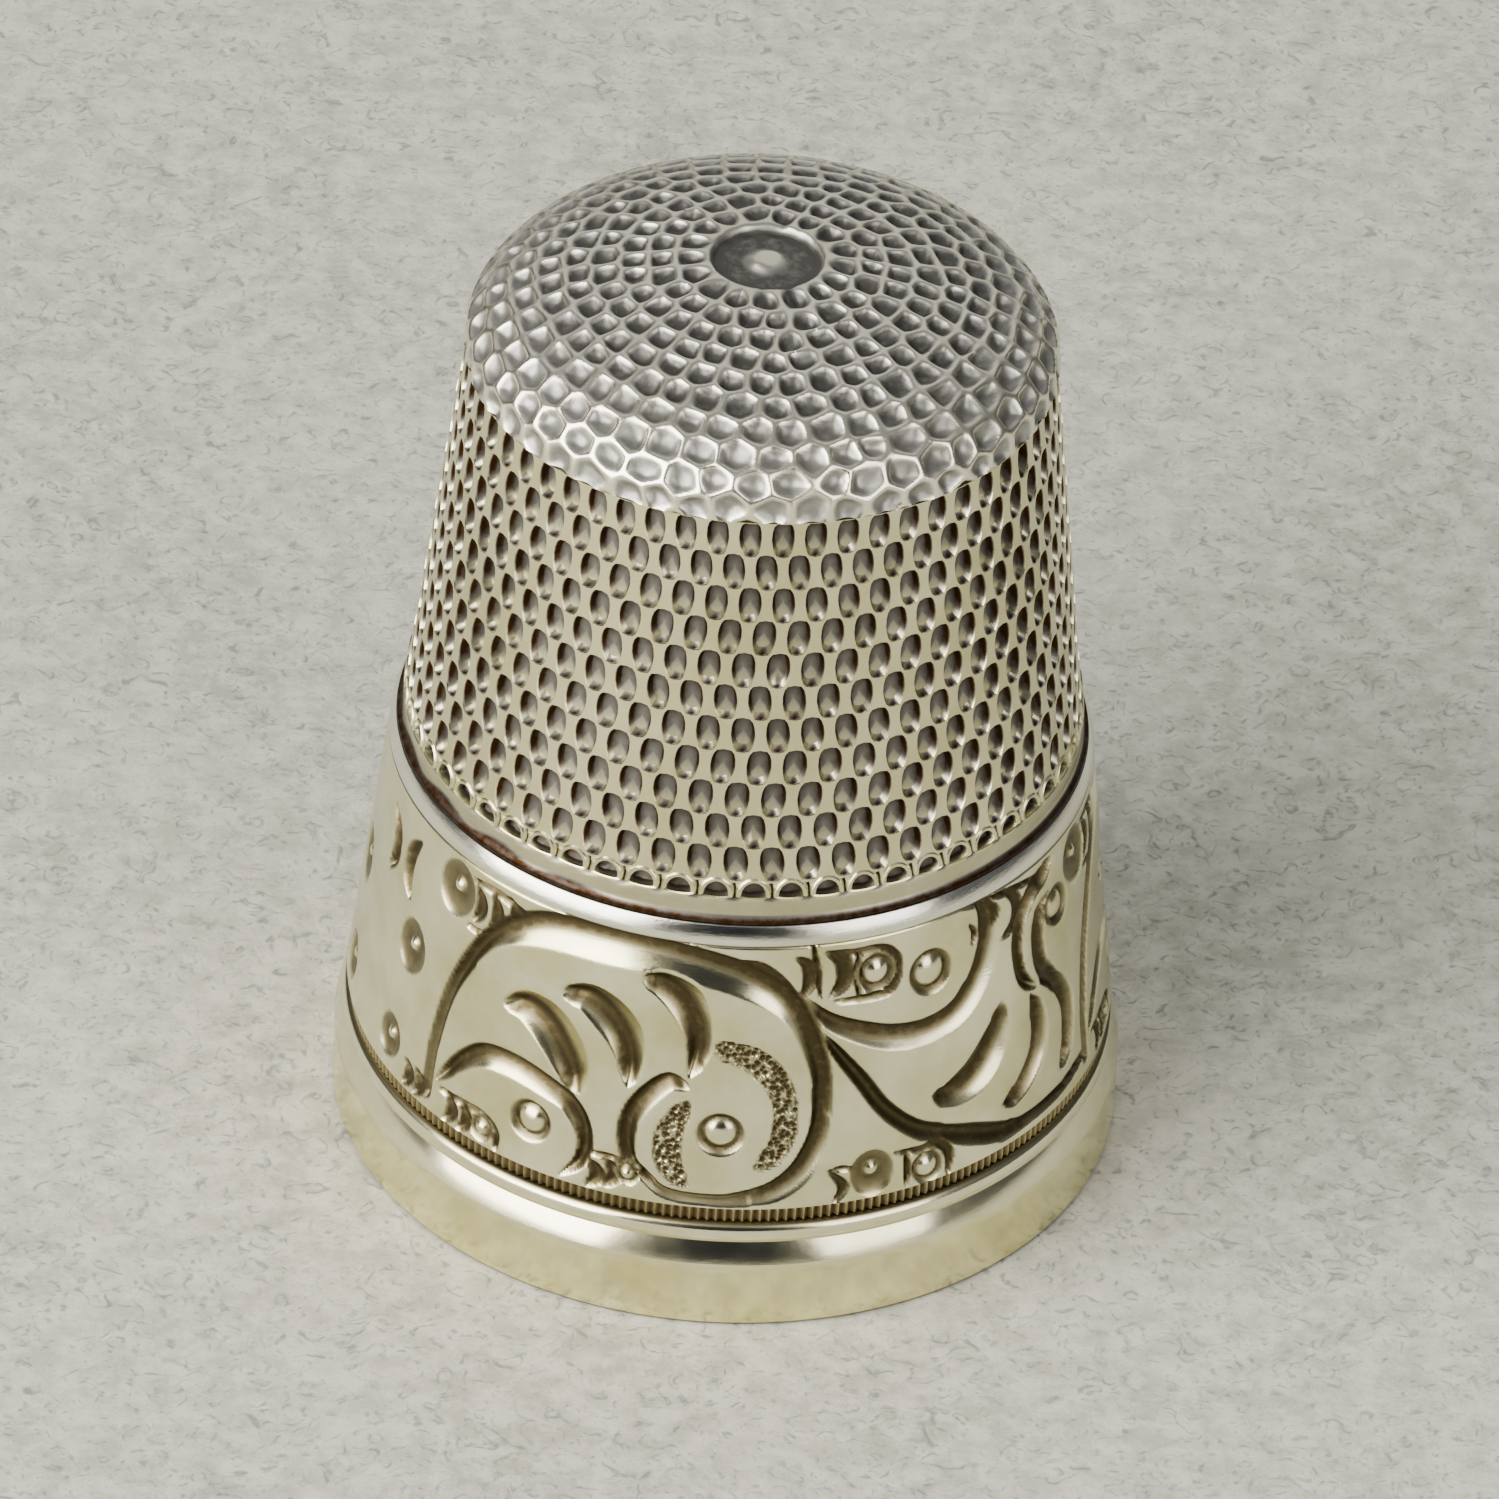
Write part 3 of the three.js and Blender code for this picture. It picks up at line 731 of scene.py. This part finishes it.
class Relief:
    """The band's surface as it is chased: how deep each point is cut, how oxidised it is and how matted."""

    def __init__(self, degrees, z):
        self.degrees, self.z = degrees, z
        self.depth = np.zeros(len(z))
        self.hollow = np.zeros(len(z))
        self.matting = np.zeros(len(z))

    def near(self, centre, top, low, half_width):
        """Which points are near a feature, how far to the right of its middle they are in mm, and their height."""
        x = ((self.degrees - centre + 180) % 360 - 180) * MM_PER_DEGREE
        close = (np.abs(x) < half_width) & (self.z > low) & (self.z < top)
        return close, x[close], self.z[close]

    def cut(self, run, start, depth, matted=False):
        """Cuts a valley along a run of points, its flanks as wide as the run says on either side."""
        run = np.array(run, float)
        centre = (run[:, 0].min() + run[:, 0].max()) / 2
        path = smooth_run(run - [centre, 0, 0, 0])
        path[:, 2:] = np.where(path[:, 2:] < FINE_WIDTH, FINE_WIDENING * path[:, 2:], path[:, 2:])
        widest = path[:, 2:].max()
        reach = np.abs(path[:, 0]).max() + widest
        close, x, z = self.near(centre + start, path[:, 1].max() + widest, path[:, 1].min() - widest, reach)
        if not close.any():
            return
        best = np.full(len(x), 9.0)
        nearest = np.full(len(x), 9.0)
        strength = np.zeros(len(x))
        full = (path[:, 2] + path[:, 3]).max()
        for a, b in zip(path, path[1:]):
            along = b[:2] - a[:2]
            size = along @ along + 1e-12
            t = np.clip(((x - a[0]) * along[0] + (z - a[1]) * along[1]) / size, 0, 1)
            dx, dz = x - a[0] - t * along[0], z - a[1] - t * along[1]
            far = np.hypot(dx, dz)
            left = along[0] * dz - along[1] * dx > 0
            widths = a[None, 2:] + (b - a)[None, 2:] * t[:, None]
            width = np.where(left, widths[:, 0], widths[:, 1])
            share = far / np.maximum(width, 1e-3)
            better = share < best
            best = np.where(better, share, best)
            nearest = np.where(better, far, nearest)
            strength = np.where(better, np.minimum(1, 2.2 * widths.sum(1) / full), strength)
        inside = np.clip((VALLEY_EDGE - np.hypot(best, VALLEY_ROUND)) / (VALLEY_EDGE - VALLEY_ROUND), 0, 1)
        if matted:
            shape = ramp(inside, 0, 0.3)
            self.matting[close] = np.maximum(self.matting[close], shape)
            oxide = 0.6 * shape
        else:
            shape = inside
            oxide = (1 - ramp(nearest, OXIDE_START, OXIDE_END)) * ramp(inside, 0, 0.06)
        self.depth[close] = np.minimum(self.depth[close], -depth * shape * strength)
        self.hollow[close] = np.maximum(self.hollow[close], oxide * strength)

    def boss(self, degrees, z, radius, start, groove=0.17, depth=0.16, rise=0.03):
        """A small dome left standing inside a ring cut, a little flattened on top."""
        close, x, height = self.near(degrees + start, z + 1, z - 1, 1)
        far = np.hypot(x, height - z)
        outer = np.clip((radius + groove - far) / groove, 0, 1)
        dome = np.clip(1 - (far / radius) ** 2, 0, 1) ** 0.7
        depth_here = np.where(far < radius, rise - (depth + rise) * (1 - dome), -depth * outer)
        inside = far < radius + groove
        self.depth[close] = np.where(inside, depth_here, self.depth[close])
        stain = np.where(far < radius, ramp(far, radius - 0.13, radius), outer ** 0.5)
        self.hollow[close] = np.where(inside, stain, self.hollow[close])

    def eye(self, degrees, z, wide, high, start, depth=0.15):
        """An oval hollow with a bead left in it, a little above its middle."""
        close, x, height = self.near(degrees + start, z + 1, z - 1, 1)
        share = np.hypot(x / wide, (height - z) / high)
        bowl = np.sqrt(np.clip(1 - share ** 2, 0, 1))
        bead = ramp(0.24 - np.hypot(x, height - z - 0.05), 0, 0.16)
        self.depth[close] = np.minimum(self.depth[close], -depth * bowl * (1 - 0.85 * bead))
        self.hollow[close] = np.maximum(self.hollow[close], bowl ** 0.5 * 0.9 * (1 - bead))


def smooth_run(run, step=0.1):
    """A smooth curve through a run of points, with degrees turned to mm."""
    run = run * [MM_PER_DEGREE, 1, 1, 1]
    ends = np.vstack([2 * run[0] - run[1], run, 2 * run[-1] - run[-2]])
    rows = []
    for p0, p1, p2, p3 in zip(ends, ends[1:], ends[2:], ends[3:]):
        pieces = max(2, round(np.hypot(*(p2 - p1)[:2]) / step))
        for t in np.arange(pieces) / pieces:
            rows.append(0.5 * (2 * p1 + (p2 - p0) * t + (2 * p0 - 5 * p1 + 4 * p2 - p3) * t ** 2
                               + (3 * p1 - p0 - 3 * p2 + p3) * t ** 3))
    rows.append(run[-1])
    rows = np.array(rows)
    rows[:, 2:] = np.maximum(rows[:, 2:], 0.01)
    return rows


def nick(degrees, z):
    """A short upright cut, bowed to the right."""
    half = 0.34 if z < 4.5 else 0.5  # the nicks at the band's foot are shorter
    bow = [(t, 1 - t * t) for t in (-1, -0.5, 0, 0.5, 1)]
    return [(degrees - 1 + 1.8 * b, z + half * t, 0.03 + 0.14 * b, 0.03 + 0.14 * b) for t, b in bow]


def chase_lobe(relief, start):
    """The large rising lobe, with everything cut in it and at its feet."""
    for run in MATTED:
        relief.cut(run, start, MATTED_DEPTH, matted=True)
    for run in (RISING_LOBE, SMALL_LOBE, HOOK):
        relief.cut(run, start, CUT_DEPTH)
    for run in INNER_GOUGES:
        relief.cut(run, start, GOUGE_DEPTH)
    for run in LOBE_CUTS + [nick(*place) for place in NICKS]:
        relief.cut(run, start, FINE_DEPTH)
    for eye in LOBE_EYES:
        relief.eye(*eye, start)
    for boss in LOBE_BOSSES:
        relief.boss(*boss, start)
    for bead in LOBE_BEADS:
        relief.boss(*bead, start, **SMALL_BEAD)


def chase_scrolls(relief, start):
    """The falling lobe to the right of it, with the scrolls over it and the gouges in it."""
    for run in (FALLING_LOBE, UPPER_SCROLL, FAR_SCROLL, FAR_SCROLL_INNER):
        relief.cut(run, start, CUT_DEPTH)
    for run in OUTER_GOUGES:
        relief.cut(run, start, GOUGE_DEPTH)
    for run in SCROLL_CUTS:
        relief.cut(run, start, FINE_DEPTH)
    for eye in SCROLL_EYES:
        relief.eye(*eye, start)
    for boss in SCROLL_BOSSES:
        relief.boss(*boss, start)
    for bead in SCROLL_BEADS:
        relief.boss(*bead, start, **SMALL_BEAD)


def chase_panel(relief):
    """The plain panel's leaves, and the eyes and nicks at its ends."""
    for run in PANEL_LEAVES:
        relief.cut(run, 0, CUT_DEPTH)
    for place in PANEL_NICKS:
        relief.cut(nick(*place), 0, FINE_DEPTH)
    for eye in PANEL_EYES:
        relief.eye(*eye, 0)


def band_piece(columns=880, rows=102):
    """The tapering band, chased all round and matted with a punch."""
    edge_round = 0.025
    taper = [(BAND_RADIUS, BAND_BOTTOM)]
    taper += line((BAND_RADIUS, BAND_BOTTOM), (BAND_TOP_RADIUS, BAND_TOP - edge_round), rows)
    edge = [(BAND_TOP_RADIUS - edge_round, BAND_TOP)]
    inner = bore(BAND_TOP)
    outline = taper + edge + line(edge[0], (inner, BAND_TOP), 2)
    outline += line((inner, BAND_TOP), (bore(BAND_BOTTOM), BAND_BOTTOM), 2)
    piece, radius, degrees, z = turned("chased_band", outline, columns)
    outside = radius > bore(z) + 0.25
    quarter_turn, quarter_rise = 90 / columns, (BAND_TOP - BAND_BOTTOM) / rows / 4
    layers = np.zeros((3, len(z)))  # averaged over four places round each vertex, so that edges run smooth
    for turn, rise in ((-1, -1), (-1, 1), (1, -1), (1, 1)):
        relief = Relief(degrees[outside] + turn * quarter_turn, z[outside] + rise * quarter_rise)
        for start in (0, REPEAT, 2 * REPEAT):
            chase_lobe(relief, start)
        for start in (0, REPEAT):
            chase_scrolls(relief, start)
        chase_panel(relief)
        layers[:, outside] += np.stack([relief.depth, relief.hollow, relief.matting]) / 4
    depth, hollow, matting = layers
    punched = PUNCH_DEPTH * matting * np.random.default_rng(3).random(len(z))
    move_points(piece, round_z(radius + depth - punched, degrees, z))
    paint(piece, "hollow", hollow)
    paint(piece, "matting", matting)
    return piece


# ---------------------------------------------------------------- assembly

seat(crown_piece(), "crown", worn_silver, 80)
seat(wall_piece(), "side_wall", knurled_silver, 35)
seat(bead_piece(), "upper_bead", polished_silver)
seat(band_piece(), "band", chased_silver, 60)
seat(wire_piece(), "milled_wire", milled_silver, 60)
seat(foot_piece(), "foot_rim", foot_silver)


# ---------------------------------------------------------------- paper, light and camera

def paper_sheet():
    """Handmade rag paper: matt, pale grey, with a faint cloudiness and short fibres."""
    paper = bpy.data.materials.new("Rag paper, pale grey")
    tree = empty_tree(paper)
    place = node(tree, "TexCoord", {}, 3)
    cloud = node(tree, "TexNoise", {"Vector": place, "Scale": 1 / (7 * MM), "Detail": 4, "Roughness": 0.6})
    pulp = node(tree, "TexNoise", {"Vector": place, "Scale": 1 / (0.9 * MM), "Detail": 5, "Roughness": 0.7})
    fibre = node(tree, "TexNoise", {"Vector": place, "Scale": 1 / (0.6 * MM), "Detail": 3, "Distortion": 2.5})
    clouded = node(tree, "MapRange", {"Value": cloud, **span(0.35, 0.65)})
    base = node(tree, "Mix", {0: clouded, 6: linear("#a3a497"), 7: linear("#b4b5a8")}, 2, data_type="RGBA")
    pulpy = node(tree, "MapRange", {"Value": pulp, **span(0.4, 0.6, 0, 0.8)})
    mottled = node(tree, "Mix", {0: pulpy, 6: base, 7: linear("#cbccbf")}, 2, data_type="RGBA")
    specked = node(tree, "MapRange", {"Value": fibre, **span(0.54, 0.7, 0, 0.62)})
    colour = node(tree, "Mix", {0: specked, 6: mottled, 7: linear("#5b6269")}, 2, data_type="RGBA")
    normal = node(tree, "Bump", {"Height": pulp, "Strength": 0.35, "Distance": 0.15 * MM})
    shader = node(tree, "BsdfPrincipled", {"Base Color": colour, "Normal": normal, "Roughness": 0.9})
    node(tree, "OutputMaterial", {"Surface": shader})
    bpy.ops.object.select_all(action="DESELECT")
    bpy.ops.mesh.primitive_plane_add(size=4)
    sheet = added("paper")
    sheet.data.materials.append(paper)


def soft_light(name, turn, elevation, far_mm, size_mm, watts, colour):
    """A soft box aimed at the middle of the thimble, turned from the front and raised by degrees."""
    middle = Vector((0, 0, 12))
    turn, elevation = math.radians(turn), math.radians(elevation)
    flat = math.cos(elevation)
    way = Vector((flat * math.sin(turn), -flat * math.cos(turn), math.sin(elevation)))
    bpy.ops.object.light_add(type="AREA", location=(middle + way * far_mm) * MM)
    lamp = bpy.context.object
    lamp.name = name
    lamp.data.shape = "RECTANGLE"
    lamp.data.size, lamp.data.size_y = size_mm[0] * MM, size_mm[1] * MM
    lamp.data.energy = watts
    lamp.data.color = linear(colour)[:3]
    lamp.rotation_euler = way.to_track_quat("Z", "Y").to_euler()


def room_light():
    """A plain room: grey walls, paler towards the ceiling, a lit wall behind and a dark stretch in front."""
    world = bpy.data.worlds.new("room")
    bpy.context.scene.world = world
    tree = empty_tree(world)
    way = node(tree, "TexCoord", {}, 0)
    height = node(tree, "SeparateXYZ", {0: way}, 2)
    raised = node(tree, "MapRange", {"Value": height, **span(0.0, 0.9)})
    walls = node(tree, "Mix", {0: raised, 6: linear("#3f4144"), 7: linear("#8d8f90")}, 2, data_type="RGBA")
    to_back = node(tree, "VectorMath", {0: way, 1: (0, 0.8, 0.6)}, 1, operation="DOT_PRODUCT")
    behind = node(tree, "MapRange", {"Value": to_back, **span(0.7, 0.95)})
    lit = node(tree, "Mix", {0: behind, 6: walls, 7: linear("#dcdcd8")}, 2, data_type="RGBA")
    to_front = node(tree, "VectorMath", {0: way, 1: (0, -0.985, 0.17)}, 1, operation="DOT_PRODUCT")
    before = node(tree, "MapRange", {"Value": to_front, **span(0.8, 0.93)})
    colour = node(tree, "Mix", {0: before, 6: lit, 7: linear("#161c25")}, 2, data_type="RGBA")
    background = node(tree, "Background", {"Color": colour, "Strength": 1.0})
    node(tree, "OutputWorld", {"Surface": background})


def camera():
    """A long lens above the front, rolled a little."""
    elevation, roll, distance, aim = 36.7, 3.07, 287.2, Vector((0.2, 0, 9.95))
    tilt = math.radians(elevation)
    back = Vector((0, -math.cos(tilt), math.sin(tilt)))
    bpy.ops.object.camera_add(location=(aim + back * distance) * MM)
    made = bpy.context.object
    made.data.lens, made.data.sensor_width = 289.4, 36
    made.data.clip_start = 0.01
    turn = Matrix.Rotation(math.radians(roll), 3, back)
    made.rotation_euler = (turn @ back.to_track_quat("Z", "Y").to_matrix()).to_euler()
    bpy.context.scene.camera = made


paper_sheet()
room_light()
soft_light("left window", -54, 28, 360, (350, 380), 4.7, "#fffaf2")
soft_light("right window", 43, 27, 380, (210, 360), 1.0, "#fffaf2")
camera()
